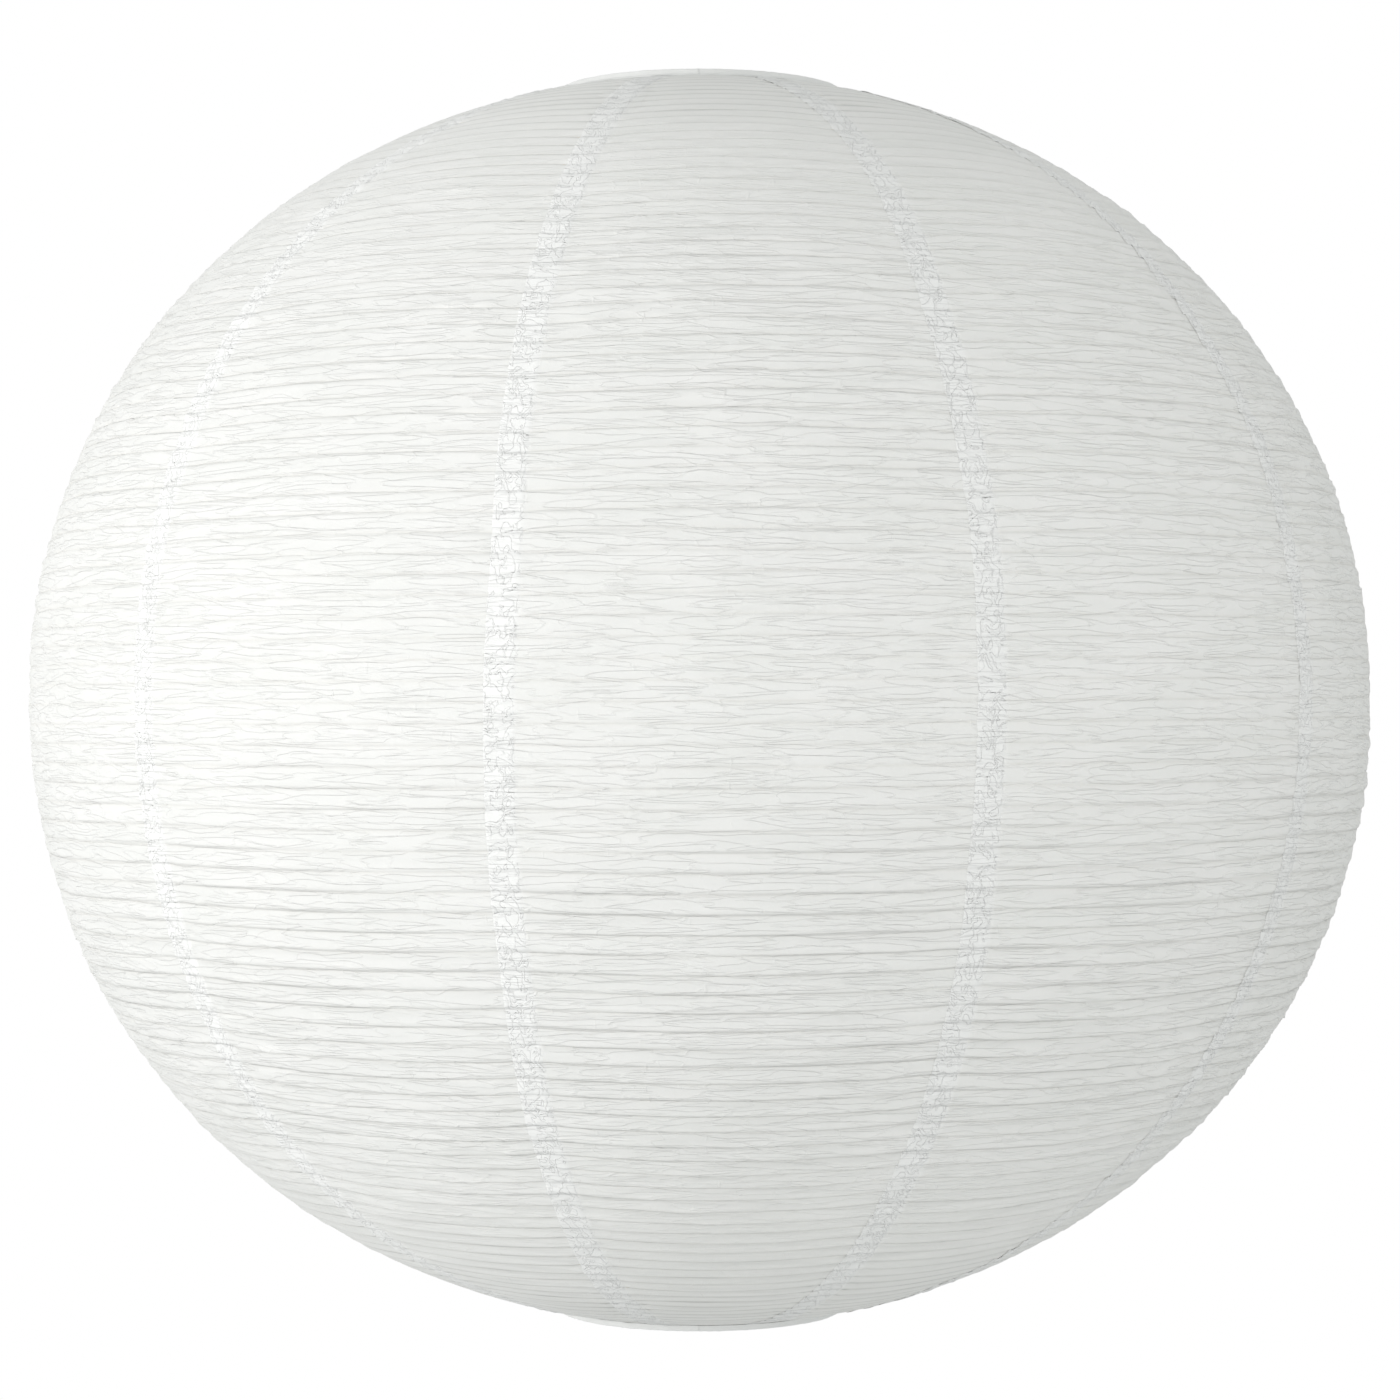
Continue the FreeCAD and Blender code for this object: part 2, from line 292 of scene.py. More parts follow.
def band_folds(band, step, share, angle):
    """Lift of the paper between two turns of the rib, and the painted shade of its fold and of its rib
    line.

    Each band leans out toward its rib nearer the pole, and tucks back in just before it."""
    swing = BAND_FIELD(angle * 5.5, band * 0.83)
    uneven = BAND_FIELD(angle * 4.0 + 60, band * 0.61)
    pole = toward_pole(share)
    lower = 1 - smooth_step(-0.5, 0.1, pole)
    polar = smooth_step(POLAR_FROM, POLAR_FULL, np.abs(share - 0.5))
    lean = BAND_LEAN * (1 - 0.75 * polar) * (0.62 + 0.38 * swing)
    line_width = LINE_WIDTH + LINE_WIDER_AT_MOUTHS * polar
    eased = np.clip(step + uneven * 0.5 * step * (1 - step), 0, 1)
    lift, shade, line = 0, 0, 0
    for weight, along in ((np.clip(pole, 0, 1), eased), (np.clip(-pole, 0, 1), 1 - eased)):
        tuck = 1 - smooth_step(TUCK_FROM, 1.0, along)
        lift = lift + weight * lean * along ** 1.7 * tuck
        # Painted shade across the band, darkest just past its equator-ward rib, and a painted dark line
        # at the tuck where the rib shades the paper
        shade = shade + weight * (1 - along) ** 1.4 * smooth_step(0, 0.05, 1 - along)
        line = line + weight * np.exp(-((LINE_PLACE - along) / line_width) ** 2)
    belly = 1 - np.abs(2 * eased - 1) ** 2.5
    lift = lift + BAND_BELLY * (1 - 0.5 * np.abs(pole)) * (1 + 0.7 * swing * (1 - 0.7 * polar)) * belly
    # Near the equator, a painted dark line at both ribs
    line = line + 0.45 * (1 - np.abs(pole)) * np.exp(-(np.minimum(step, 1 - step) / 0.05) ** 2)
    fade = 0.3 + 0.7 * smooth_step(-0.6, 0.5, BAND_FIELD(angle * 7 + 20, band * 0.9 + 40))
    fade = fade + (0.9 - fade) * polar
    # Both painted shades are stronger in the lower half and at the mouths
    shade = shade * painted_shade_strength(FOLD_PAINTED_SHADE, lower, polar) * (0.7 + 0.3 * swing)
    line = line * fade * painted_shade_strength(RIB_LINE_PAINTED_SHADE, lower, polar)
    return lift, np.clip(shade, 0, 1), np.clip(line, 0, 1)


def crease_ridges(field, kinds, x, y, shift, apart, sharpness):
    """Ridges along the middle values of a random field, one set for each kind of crease."""
    total = 0
    for slope, length, width, depth in kinds:
        across = (y + slope * x) / (width * MM) + slope * apart
        total = total + depth * MM * (1 - np.abs(field(x / (length * MM) + shift, across))) ** sharpness
    return total


def creases(gore, x, y):
    """Long shallow creases that run nearly along the ribs, and finer ones branching off them."""
    shift = gore * 31.7
    strength = 0.6 + 1.9 * smooth_step(-0.5, 0.6, STRENGTH_FIELD(x / 0.07 + shift, y / 0.05))
    strength = strength * (1 - 0.94 * smooth_step(CALM_FROM, CALM_FULL, np.abs(y / MERIDIAN - 0.5)))
    long = crease_ridges(CREASE_FIELD, LONG_CREASES, x, y, shift, 900, 5)
    branching = crease_ridges(FINE_CREASE_FIELD, BRANCHING_CREASES, x, y, shift, 500, 8)
    return (long + branching) * strength


def pucker(seam, x, y, step):
    """Small crumples where the glued lap is gathered over the rib, at a distance x from its middle."""
    at_rib = 0.35 + 0.65 * np.exp(-(np.minimum(step, 1 - step) / 0.14) ** 2)
    fine = PUCKER_FIELD(x / (3.4 * MM) + seam * 13.1, y / (2.9 * MM))
    coarse = PUCKER_FIELD(x / (8.5 * MM) + 90, y / (6.5 * MM) + seam * 5.7)
    at_edges = np.exp(-((np.abs(x) - LAP / 2) / PUCKER_REACH) ** 2)
    between = 0.35 * np.exp(-(x / (9 * MM)) ** 2)
    return (FINE_PUCKER * fine * at_rib + COARSE_PUCKER * coarse) * (at_edges + between)


def lap_lift(gore, x, y):
    """How far a gore stands off the gore it laps over, with an edge that is loose in places."""
    over = 1 - smooth_step(LAP - 0.4 * MM, LAP + 0.4 * MM, x)
    loose = LAP_LOOSE * np.clip(LIFT_FIELD(y / (9 * MM), gore * 3.3), 0, 1)
    return over * (LAP_STEP + loose * (1 - smooth_step(0, 3 * MM, x)))


def seam_map(x):
    """1 on the lap, and a line along each of its edges; the paper is whitened on both, partly for the
    doubled sheet and partly as painted highlight.
    """
    lap = smooth_step(-0.3 * MM, 0.3 * MM, x) * (1 - smooth_step(LAP - 0.5 * MM, LAP + 0.5 * MM, x))
    edge = np.exp(-(x / (0.6 * MM)) ** 2) + 0.8 * np.exp(-((x - LAP) / (0.6 * MM)) ** 2)
    return np.stack([lap, edge], axis=-1)


def gore_rows():
    """Band number and step in the band for each row of a gore; band -1 is the one below the rib."""
    bands = np.arange(-1, RIB_TURNS)
    band = np.repeat(bands, len(BAND_STEPS)).astype(float)
    step = np.tile(BAND_STEPS, len(bands))
    return np.append(band, bands[-1])[:, None], np.append(step, 1.0)[:, None]


def gore_columns(number, band, step):
    """Each point's distance from its gore's left edge, the width there, its angle, and its distance
    from the gore's middle."""
    left_seam, right_seam = SEAMS[number], SEAMS[number + 1]
    middle = (left_seam + right_seam) / 2
    share = row_share(band, step, np.full((1, 1), middle))
    radius = radius_at(share)
    left_shift, right_shift = seam_shift(number, share), seam_shift(number + 1, share)
    width = radius * (right_seam - left_seam) + LAP + right_shift - left_shift
    inset = LAP_COLUMNS[-1]
    inner = np.linspace(0, 1, MIDDLE_COLUMNS + 2)[None, 1:-1]
    left = np.array(LAP_COLUMNS)[None, :] + 0 * width
    right = width - left[:, ::-1]
    x = np.concatenate([left, inset + (width - 2 * inset) * inner, right], axis=1)
    angle = left_seam + (x - LAP / 2 + left_shift) / radius
    return x, width, angle, (angle - middle) * radius


def gore_grid(number):
    """Points of one gore, lapped over the gore before it, and its paper map, its map of painted shade in
    the folds and along the rib, and its seam map.
    """
    band, step = gore_rows()
    x, width, angle, from_middle = gore_columns(number, band, step)
    share = row_share(band, step, angle)
    y = share * MERIDIAN
    clear_of_laps = smooth_step(LAP * 0.8, LAP * 2.2, np.minimum(x, width - x))
    near_mouth = np.clip(np.minimum(band + 1.2, RIB_TURNS - 0.8 - band) / 3, 0.2, 1)

    lift, shade, line = band_folds(band, step, share, angle)
    lift = lift + creases(number, from_middle, y) * clear_of_laps
    lift = lift + pucker(number % len(GORES), x - LAP / 2, y, step)
    lift = lift + pucker((number + 1) % len(GORES), LAP / 2 - (width - x), y, step)
    lift = (lift + lap_lift(number, x, y)) * near_mouth
    lift = np.maximum(lift, LOWEST_PAPER)
    maps = {"paper": np.stack([x + number * 0.4, y], axis=-1),
            "painted_fold_shade": np.stack([shade, line], axis=-1),
            "seam": seam_map(x)}
    return globe_points(share, angle, lift), maps


def row_share(band, step, angle):
    """Share of the meridian for a step between two rib lines, with the mouths as the last lines."""
    below = np.where(band < 0, 0, rib_share(band, angle))
    above = np.where(band > RIB_TURNS - 1.5, 1, rib_share(band + 1, angle))
    return below + (above - below) * step


# ---------------------------------------------------------------- mesh helpers

def grid_object(name, points, maps=None, closed_columns=False):
    """A mesh of quads over a grid of points, smooth shaded, with UV maps of values at the points."""
    rows, columns = points.shape[:2]
    row = np.arange(rows - 1)
    column = np.arange(columns if closed_columns else columns - 1)
    r, c = [grid.ravel() for grid in np.meshgrid(row, column, indexing="ij")]
    next_r, next_c = (r + 1) % rows, (c + 1) % columns
    corners = [r * columns + c, r * columns + next_c, next_r * columns + next_c, next_r * columns + c]
    quads = np.stack(corners, axis=-1)
    mesh = bpy.data.meshes.new(name)
    mesh.vertices.add(rows * columns)
    mesh.vertices.foreach_set("co", points.reshape(-1).astype(np.float32))
    mesh.loops.add(quads.size)
    mesh.loops.foreach_set("vertex_index", quads.reshape(-1).astype(np.int32))
    mesh.polygons.add(len(quads))
    mesh.polygons.foreach_set("loop_start", np.arange(0, quads.size, 4, dtype=np.int32))
    mesh.polygons.foreach_set("use_smooth", np.ones(len(quads), dtype=bool))
    mesh.update(calc_edges=True)
    for map_name, values in (maps or {}).items():
        layer = mesh.uv_layers.new(name=map_name)
        flat = values.reshape(-1, 2)[quads.reshape(-1)]
        layer.data.foreach_set("uv", flat.reshape(-1).astype(np.float32))
    mesh.validate()
    thing = bpy.data.objects.new(name, mesh)
    bpy.context.scene.collection.objects.link(thing)
    return thing


def strip_object(name, path, thickness, height):
    """A strip with rounded edges along a path that goes round the Z axis."""
    ahead = np.gradient(path, axis=0)
    ahead /= np.linalg.norm(ahead, axis=1)[:, None]
    side = np.cross(ahead, [0.0, 0.0, 1.0])
    side /= np.linalg.norm(side, axis=1)[:, None]
    up = np.cross(side, ahead)
    across = np.array([1, 1, 0.6, -0.6, -1, -1, -0.6, 0.6])[None, :, None] * thickness / 2
    along = np.array([-0.7, 0.7, 1, 1, 0.7, -0.7, -1, -1])[None, :, None] * height / 2
    points = path[:, None] + side[:, None] * across + up[:, None] * along
    return grid_object(name, points, closed_columns=True)


# ---------------------------------------------------------------- materials

class Nodes:
    """Short ways to build a node material."""

    def __init__(self, name):
        self.material = bpy.data.materials.new(name)
        self.material.use_nodes = True
        self.tree = self.material.node_tree
        self.tree.nodes.clear()
        self.output = self.add("ShaderNodeOutputMaterial")

    def add(self, kind, **settings):
        node = self.tree.nodes.new(kind)
        for key, value in settings.items():
            setattr(node, key, value)
        return node

    def link(self, source, target):
        self.tree.links.new(source, target)

    def put(self, node, values):
        for key, value in values.items():
            socket = node.inputs[key]
            if isinstance(value, bpy.types.NodeSocket):
                self.link(value, socket)
            else:
                socket.default_value = value
        return node

    def math(self, operation, first, second=0.0, clamp=False):
        node = self.add("ShaderNodeMath", operation=operation, use_clamp=clamp)
        return self.put(node, {0: first, 1: second}).outputs[0]

    def stretch(self, vector, scale, angle=0.0):
        node = self.add("ShaderNodeMapping")
        self.put(node, {"Vector": vector, "Scale": scale, "Rotation": (0, 0, angle)})
        return node.outputs[0]

    def noise(self, vector, scale, detail=3.0, roughness=0.5, distortion=0.0):
        node = self.add("ShaderNodeTexNoise")
        values = {"Vector": vector, "Scale": scale, "Detail": detail}
        self.put(node, values | {"Roughness": roughness, "Distortion": distortion})
        return node.outputs["Fac"]

    def ramp(self, value, low, high, low_out=0.0, high_out=1.0):
        node = self.add("ShaderNodeMapRange", interpolation_type="SMOOTHSTEP")
        values = {"Value": value, "From Min": low, "From Max": high}
        self.put(node, values | {"To Min": low_out, "To Max": high_out})
        return node.outputs[0]

    def blend(self, share, first, second):
        node = self.add("ShaderNodeMix", data_type="RGBA")
        self.put(node, {0: share, 6: first, 7: second})
        return node.outputs[2]

    def bump(self, height, distance, strength=1.0, normal=None):
        node = self.add("ShaderNodeBump")
        self.put(node, {"Height": height, "Distance": distance, "Strength": strength})
        if normal is not None:
            self.link(normal, node.inputs["Normal"])
        return node.outputs[0]

    def thread(self, vector, scale, width, distortion=0.0):
        """Thin wandering threads, where a noise crosses its middle value."""
        value = self.noise(vector, scale, 2.0, 0.4, distortion)
        apart = self.math("ABSOLUTE", self.math("SUBTRACT", value, 0.5))
        return self.ramp(apart, 0.0, width, 1.0, 0.0)

    def finish(self, shader):
        self.link(shader, self.output.inputs["Surface"])
        return self.material


def tinted(colour, factor):
    """The same colour made darker or lighter, at most white."""
    return tuple(min(1.0, channel * factor) for channel in colour[:3]) + (1.0,)


def uv_parts(n, name):
    """The parts of one of the paper's UV maps."""
    parts = n.add("ShaderNodeSeparateXYZ")
    n.link(n.add("ShaderNodeUVMap", uv_map=name).outputs[0], parts.inputs[0])
    return parts.outputs


def paper_colour(n, paper, pulp, fibres, crumple, white, cloud_colour):
    """Clouded pulp and paler fibres, with painted shade in the folds and along the rib, and whiter on
    the laps for the doubled paper and a painted highlight.
    """
    fold_shade, rib_line_shade = uv_parts(n, "painted_fold_shade")[:2]
    lap, lap_edge_highlight = uv_parts(n, "seam")[:2]
    cloud = n.noise(n.stretch(paper, (1.0, 2.2, 1.0)), 16.0, 3.0, 0.5)
    colour = n.blend(n.ramp(cloud, 0.3, 0.72), cloud_colour, white)
    colour = n.blend(n.math("MULTIPLY", fibres, 0.35), colour, tinted(white, 1.03))
    colour = n.blend(n.ramp(pulp, 0.32, 0.7, 0.0, 0.15), colour, tinted(cloud_colour, 0.955))
    streaks = n.ramp(n.noise(n.stretch(paper, (0.4, 5.0, 1.0)), 40.0, 1.0, 0.4), 0.3, 0.7, 0.3, 1.0)
    # Painted shade in the folds, and a painted dark line along the rib
    shade_in_fold = n.math("MULTIPLY", n.math("MULTIPLY", fold_shade, streaks), 0.7)
    colour = n.blend(shade_in_fold, colour, tinted(cloud_colour, 0.84))
    colour = n.blend(n.math("MULTIPLY", rib_line_shade, 0.95), colour, tinted(cloud_colour, 0.6))
    # Whiter on the lap for the doubled paper, with a painted highlight on its crumples and along its
    # edges
    on_lap = n.math("MULTIPLY", lap, 0.38)
    doubled_and_highlit = n.math("MAXIMUM", on_lap, n.math("MULTIPLY", crumple, 0.6))
    doubled_and_highlit = n.math("MAXIMUM", doubled_and_highlit, n.math("MULTIPLY", lap_edge_highlight, 0.65))
    return n.blend(doubled_and_highlit, colour, DOUBLED_PAPER_AND_HIGHLIGHT)


def paper_normal(n, paper, pulp, fibres, crumple):
    """Grain, fibres, fine creases along the ribs that calm toward the mouths, and crumpled laps."""
    crease = n.thread(n.stretch(paper, (1.0, 9.0, 1.0), 0.05), 24.0, 0.03, 0.35)
    branch = n.thread(n.stretch(paper, (1.0, 6.0, 1.0), -0.22), 30.0, 0.024, 0.5)
    tick = n.ramp(n.noise(n.stretch(paper, (3.0, 1.0, 1.0)), 90.0, 1.0, 0.4), 0.7, 0.86)
    height = uv_parts(n, "paper")[1]
    from_middle = n.math("ABSOLUTE", n.math("SUBTRACT", height, MERIDIAN / 2))
    calm = n.ramp(from_middle, CALM_FROM * MERIDIAN, 0.4 * MERIDIAN, 1.0, 0.25)
    lines = n.math("ADD", n.math("MULTIPLY", crease, 0.8), n.math("MULTIPLY", branch, 0.6))
    normal = n.bump(pulp, 0.06 * MM, 0.5)
    normal = n.bump(fibres, 0.06 * MM, 0.6, normal)
    normal = n.bump(n.math("MULTIPLY", lines, calm), 0.36 * MM, 0.8, normal)
    normal = n.bump(crumple, 0.4 * MM, 0.8, normal)
    return n.bump(tick, 0.35 * MM, 0.7, normal)


def paper_material(name, white, cloud_colour, see_through):
    """Thin mulberry paper: clouded pulp, long fibres, fine creases, and a glow through it."""
    n = Nodes(name)
    paper = n.add("ShaderNodeUVMap", uv_map="paper").outputs[0]
    lap = uv_parts(n, "seam")[0]
    pulp = n.noise(paper, 130.0, 6.0, 0.62)
    across = n.thread(n.stretch(paper, (1.0, 2.6, 1.0), 0.12), 85.0, 0.012, 0.6)
    aslant = n.thread(n.stretch(paper, (2.2, 1.0, 1.0), 0.7), 70.0, 0.010, 0.8)
    fibres = n.math("MAXIMUM", across, aslant)
    crumple = n.math("MULTIPLY", n.thread(n.stretch(paper, (1.2, 1.0, 1.0)), 150.0, 0.04, 1.2), lap)
    colour = paper_colour(n, paper, pulp, fibres, crumple, white, cloud_colour)
    normal = paper_normal(n, paper, pulp, fibres, crumple)

    face = n.add("ShaderNodeBsdfPrincipled")
    roughness = n.ramp(pulp, 0.3, 0.7, 0.74, 0.9)
    n.put(face, {"Base Color": colour, "Roughness": roughness, "Normal": normal})
    n.put(face, {"Specular IOR Level": 0.28, "Sheen Weight": 0.12, "Sheen Roughness": 0.6})
    glow = n.put(n.add("ShaderNodeBsdfTranslucent"), {"Color": colour, "Normal": normal})
    less_on_lap = n.math("MULTIPLY_ADD", lap, -0.2 * see_through)
    less_on_lap.node.inputs[2].default_value = see_through
    mixed = n.add("ShaderNodeMixShader")
    n.put(mixed, {0: less_on_lap, 1: face.outputs[0], 2: glow.outputs[0]})
    return n.finish(mixed.outputs[0])


def metal_material(name, colour, roughness, streak, spangle):
    """Plated or drawn steel: crystal patches of a size, marks drawn out one way, and dull spots."""
    n = Nodes(name)
    place = n.add("ShaderNodeTexCoord").outputs["Object"]
    patches = n.add("ShaderNodeTexVoronoi", feature="F1")
    n.put(patches, {"Vector": place, "Scale": spangle, "Randomness": 1.0})
    patch = n.add("ShaderNodeSeparateColor")
    n.link(patches.outputs["Color"], patch.inputs[0])
    drawn = n.noise(n.stretch(place, streak), 900.0, 4.0, 0.6)
    dull = n.noise(place, 55.0, 4.0, 0.6)
    shade = n.blend(n.math("MULTIPLY", patch.outputs[0], 0.55), colour, tinted(colour, 1.12))
    shade = n.blend(n.ramp(dull, 0.45, 0.75, 0.0, 0.55), shade, tinted(colour, 0.72))
    patchy = n.math("MULTIPLY", patch.outputs[1], 0.06)
    rough = n.math("ADD", n.ramp(dull, 0.3, 0.8, roughness - 0.08, roughness + 0.16), patchy)
    normal = n.bump(drawn, 0.03 * MM, 0.5)
    steel = n.add("ShaderNodeBsdfPrincipled")
    n.put(steel, {"Base Color": shade, "Metallic": 1.0, "Roughness": rough, "Normal": normal})
    return n.finish(steel.outputs[0])


def bamboo_material():
    """Scraped bamboo: pale straw with darker fibre bundles and a dull shine."""
    n = Nodes("split_bamboo")
    place = n.add("ShaderNodeTexCoord").outputs["Object"]
    bundles = n.noise(n.stretch(place, (1.0, 1.0, 14.0)), 240.0, 4.0, 0.6)
    patches = n.noise(place, 22.0, 3.0)
    colour = n.blend(n.ramp(bundles, 0.35, 0.7), (0.70, 0.58, 0.38, 1), (0.83, 0.74, 0.55, 1))
    colour = n.blend(n.ramp(patches, 0.5, 0.75, 0.0, 0.5), colour, (0.62, 0.47, 0.27, 1))
    face = n.add("ShaderNodeBsdfPrincipled")
    n.put(face, {"Base Color": colour, "Roughness": n.ramp(bundles, 0.3, 0.7, 0.45, 0.65)})
    n.link(n.bump(bundles, 0.05 * MM, 0.6), face.inputs["Normal"])
    return n.finish(face.outputs[0])


def stage_material(name, shade, glow):
    """Studio paper that is plain white to the camera and an even, dimmer glow to everything else."""
    n = Nodes(name)
    place = n.add("ShaderNodeTexCoord").outputs["Object"]
    soft = n.ramp(n.noise(place, 3.0, 2.0), 0.3, 0.7, 0.0, 0.5)
    white = n.blend(soft, (1.0, 1.0, 1.0, 1), (1.0, 1.0, 0.998, 1))
    seen = n.put(n.add("ShaderNodeEmission"), {"Color": white, "Strength": 1.0})
    lit = n.put(n.add("ShaderNodeEmission"), {"Color": shade, "Strength": glow})
    mixed = n.add("ShaderNodeMixShader")
    camera_ray = n.add("ShaderNodeLightPath").outputs["Is Camera Ray"]
    n.put(mixed, {0: camera_ray, 1: lit.outputs[0], 2: seen.outputs[0]})
    return n.finish(mixed.outputs[0])


# ---------------------------------------------------------------- pieces


def fold_with_shade(piece):
    """The piece hangs from the top ring: it rides the shade_top body, with a mesh of its own."""
    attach(piece, "shade_top")
    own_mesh(piece)


def make_gores(material):
    """Each gore is one open sheet of paper, lapped over the gore before it."""
    for number in range(len(GORES)):
        node = GORES[(number - GORES_BEFORE_FRONT) % len(GORES)]
        points, maps = gore_grid(number)
        gore = grid_object(f"paper_{node[-2:]}", points, maps)
        gore.data.materials.append(material)
        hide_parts(node)
        fold_with_shade(gore)


def make_rib(material):
    """The spiral bamboo strip inside the paper, on the same rib lines."""
    station = np.linspace(0, RIB_TURNS, RIB_TURNS * RIB_STATIONS_A_TURN + 1)
    turn = np.minimum(np.floor(station), RIB_TURNS - 1)
    angle = SEAMS[0] + (station - turn) * 2 * math.pi
    path = globe_points(rib_share(turn, angle), angle, -RIB_INSIDE)
    strip = strip_object("bamboo_spiral", path, RIB_THICKNESS, RIB_HEIGHT)
    strip.data.materials.append(material)
    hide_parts("bamboo_rib")
    fold_with_shade(strip)


def collar_section(side):
    """Radius and height along a collar's paper: from under the ring, round it, then out on the gores."""
    wrap = RING_WIRE + WRAP_GAP
    centre_z = TOP_Z if side > 0 else BOTTOM_Z
    skirt_reach = TOP_SKIRT_REACH if side > 0 else BOTTOM_SKIRT_REACH
    skirt_edge = TOP_SKIRT_EDGE if side > 0 else BOTTOM_SKIRT_EDGE
    turn = np.radians(np.linspace(WRAP_FROM_DEG, WRAP_TO_DEG, 24))
    radius = RING_RADIUS + wrap * np.cos(turn)
    height = wrap * np.sin(turn)
    reach = np.linspace(RING_RADIUS + SKIRT_START, RING_RADIUS + RING_WIRE + skirt_reach, 7)
    drop = HALF_HEIGHT * (1 - (reach / GLOBE_RADIUS) ** GLOBE_POWER) ** (1 / GLOBE_POWER)
    lift = np.linspace(SKIRT_START_LIFT, skirt_edge, len(reach))
    skirt = drop - (centre_z - MIDDLE_Z) * side + lift
    radius = np.concatenate([radius, reach])
    height = np.concatenate([height, skirt])
    return radius, centre_z + side * height


def make_collar(node, side, body, material):
    """Paper strip folded round a mouth's ring, slightly pleated, its ragged edge down on the gores."""
    radius, height = collar_section(side)
    angle = np.linspace(0, 2 * math.pi, COLLAR_COLUMNS, endpoint=False)
    walked = np.concatenate([[0], np.cumsum(np.hypot(np.diff(radius), np.diff(height)))])
    pleat = PUCKER_FIELD(angle[None, :] * 31 + side * 40, walked[:, None] / (5 * MM))
    ripple = BAND_FIELD(angle[None, :] * 9 + side * 20, walked[:, None] / (12 * MM))
    outward = 0.18 * MM * np.abs(pleat) + 0.2 * MM * np.clip(ripple, 0, 1)
    at_edge = (walked[:, None] / walked[-1]) ** 6
    outward = outward * (1 - at_edge)
    ragged = 0.7 * MM * WOBBLE_FIELD(angle * 14, side * 3.0) * at_edge
    spread = radius[:, None] + outward * 0.5 + ragged
    raised = height[:, None] + side * outward
    points = np.stack([spread * np.sin(angle), -spread * np.cos(angle), raised], axis=-1)
    paper_xy = np.stack(np.broadcast_arrays(RING_RADIUS * angle[None, :], walked[:, None]), axis=-1)
    maps = {"paper": paper_xy, "painted_fold_shade": paper_xy * 0, "seam": paper_xy * 0}
    collar = grid_object(f"{node}_paper", points, maps, closed_columns=True)
    collar.data.materials.append(material)
    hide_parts(node)
    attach(collar, body)


def dress_metal():
    """Materials for the CAD pieces that stay as they are."""
    along, round_z = (1.0, 1.0, 0.05), (0.2, 0.2, 1.0)
    plated = metal_material("zinc_plated_sheet", (0.58, 0.59, 0.6, 1), 0.36, (1.0, 0.06, 1.0), 210.0)
    spring = metal_material("drawn_spring_wire", (0.5, 0.51, 0.53, 1), 0.28, along, 900.0)
    ring = metal_material("plated_ring_wire", (0.56, 0.57, 0.58, 1), 0.32, round_z, 700.0)
    rivet = metal_material("rivet_steel", (0.66, 0.66, 0.66, 1), 0.24, round_z, 500.0)
    families = {"leg_socket": plated, "foot_clip": plated, "spider_plate": plated, "leg": spring,
                "top_ring": ring, "bottom_ring": ring, "socket_rivet": rivet}
    for name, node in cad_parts.items():
        family = next((key for key in families if name.startswith(key)), None)
        if family:
            node.data.materials.clear()
            node.data.materials.append(families[family])


# ---------------------------------------------------------------- stage, light and camera

def make_stage():
    """A pale floor that curves up into a plain backdrop behind the lantern."""
    floor_z = BOTTOM_Z - FLOOR_BELOW
    wide = np.linspace(-STAGE_HALF_WIDTH, STAGE_HALF_WIDTH, 3)
    curve = np.radians(np.linspace(-90, 0, 17))
    bent = BACKDROP_FROM + BACKDROP_BEND * np.cos(curve)
    depth = np.concatenate([[STAGE_FRONT], bent, [BACKDROP_FROM + BACKDROP_BEND]])
    risen = floor_z + BACKDROP_BEND + BACKDROP_BEND * np.sin(curve)
    height = np.concatenate([[floor_z], risen, [floor_z + BACKDROP_HEIGHT]])
    rows = [np.stack([wide, np.full(3, d), np.full(3, h)], axis=-1) for d, h in zip(depth, height)]
    stage = grid_object("studio_floor", np.stack(rows))
    stage.data.materials.append(stage_material("studio_paper", SURROUND_COLOUR, FLOOR_GLOW))


def area_light(name, place, power):
    """A round soft light that faces the globe's middle."""
    light = bpy.data.lights.new(name, "AREA")
    light.shape = "DISK"
    light.size = LIGHT_SIZE
    light.energy = power
    light.color = LIGHT_COLOUR
    lamp = bpy.data.objects.new(name, light)
    lamp.location = place
    direction = np.array((0, 0, MIDDLE_Z)) - np.array(place)
    yaw = math.atan2(-direction[0], direction[1])
    pitch = math.atan2(math.hypot(direction[0], direction[1]), -direction[2])
    lamp.rotation_euler = (pitch, 0, yaw)
    bpy.context.scene.collection.objects.link(lamp)


def make_light():
    """A large soft key at the left, a softer light in front, and an even surround."""
    area_light("key_left", (-3.5, -1.1, MIDDLE_Z + 0.15), KEY_WATTS)
    area_light("front_soft", (0.3, -3.4, MIDDLE_Z + 0.4), FRONT_WATTS)
    bpy.context.scene.world = studio_world()


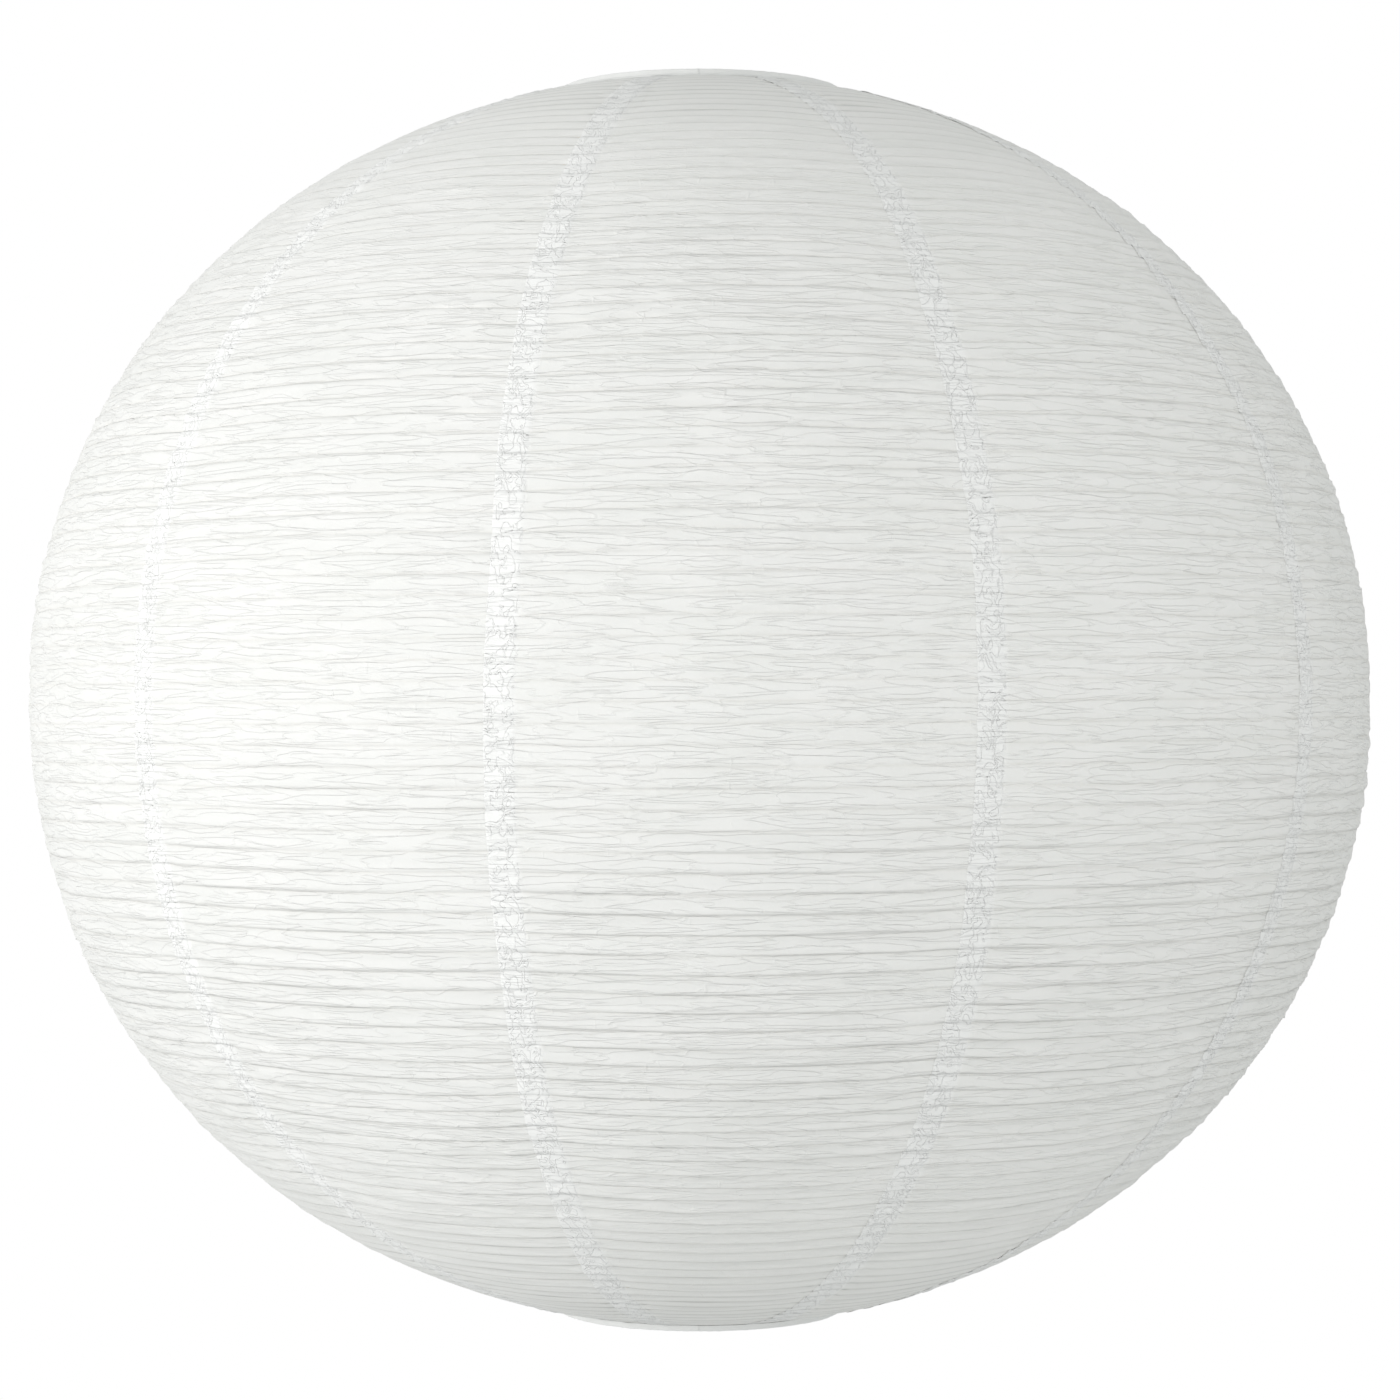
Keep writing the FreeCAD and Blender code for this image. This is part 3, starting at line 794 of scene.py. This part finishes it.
def studio_world():
    """Plain white to the camera; to everything else an even glow, a little dimmer overhead."""
    world = bpy.data.worlds.new("studio")
    world.use_nodes = True
    tree = world.node_tree
    output = tree.nodes["World Output"]
    sky = tree.nodes["Background"]
    sky.inputs["Color"].default_value = SURROUND_COLOUR
    white = tree.nodes.new("ShaderNodeBackground")
    white.inputs["Color"].default_value = (1, 1, 1, 1)
    mixed = tree.nodes.new("ShaderNodeMixShader")
    rays = tree.nodes.new("ShaderNodeLightPath")
    place = tree.nodes.new("ShaderNodeTexCoord")
    toward = tree.nodes.new("ShaderNodeSeparateXYZ")
    dimmer = tree.nodes.new("ShaderNodeMapRange")
    dimmer.inputs["To Min"].default_value = SURROUND
    dimmer.inputs["To Max"].default_value = OVERHEAD
    tree.links.new(place.outputs["Generated"], toward.inputs[0])
    tree.links.new(toward.outputs[2], dimmer.inputs["Value"])
    tree.links.new(dimmer.outputs[0], sky.inputs["Strength"])
    tree.links.new(rays.outputs["Is Camera Ray"], mixed.inputs[0])
    tree.links.new(sky.outputs[0], mixed.inputs[1])
    tree.links.new(white.outputs[0], mixed.inputs[2])
    tree.links.new(mixed.outputs[0], output.inputs["Surface"])
    return world


def make_camera():
    """A camera in front, level with the globe's middle."""
    camera = bpy.data.cameras.new("camera")
    camera.lens = CAMERA_LENS
    camera.sensor_width = CAMERA_SENSOR
    camera.clip_end = 50
    holder = bpy.data.objects.new("camera", camera)
    holder.location = (0, -CAMERA_DISTANCE, MIDDLE_Z)
    holder.rotation_euler = (math.pi / 2, 0, 0)
    bpy.context.scene.collection.objects.link(holder)
    bpy.context.scene.camera = holder
    bpy.context.scene.view_settings.view_transform = "Standard"


def main():
    """Builds the scene."""
    make_camera()
    globe_paper = paper_material("globe_paper", GORE_WHITE, GORE_CLOUD, GORE_SEE_THROUGH)
    # Collar paper, greyed as painted shade
    collar_paper = paper_material("collar_paper", COLLAR_SHADED_WHITE, COLLAR_SHADED_CLOUD, COLLAR_SEE_THROUGH)
    make_gores(globe_paper)
    make_rib(bamboo_material())
    make_collar("top_collar", 1, "shade_top", collar_paper)
    make_collar("bottom_collar", -1, "shade_bottom", collar_paper)
    dress_metal()
    make_stage()
    make_light()


main()
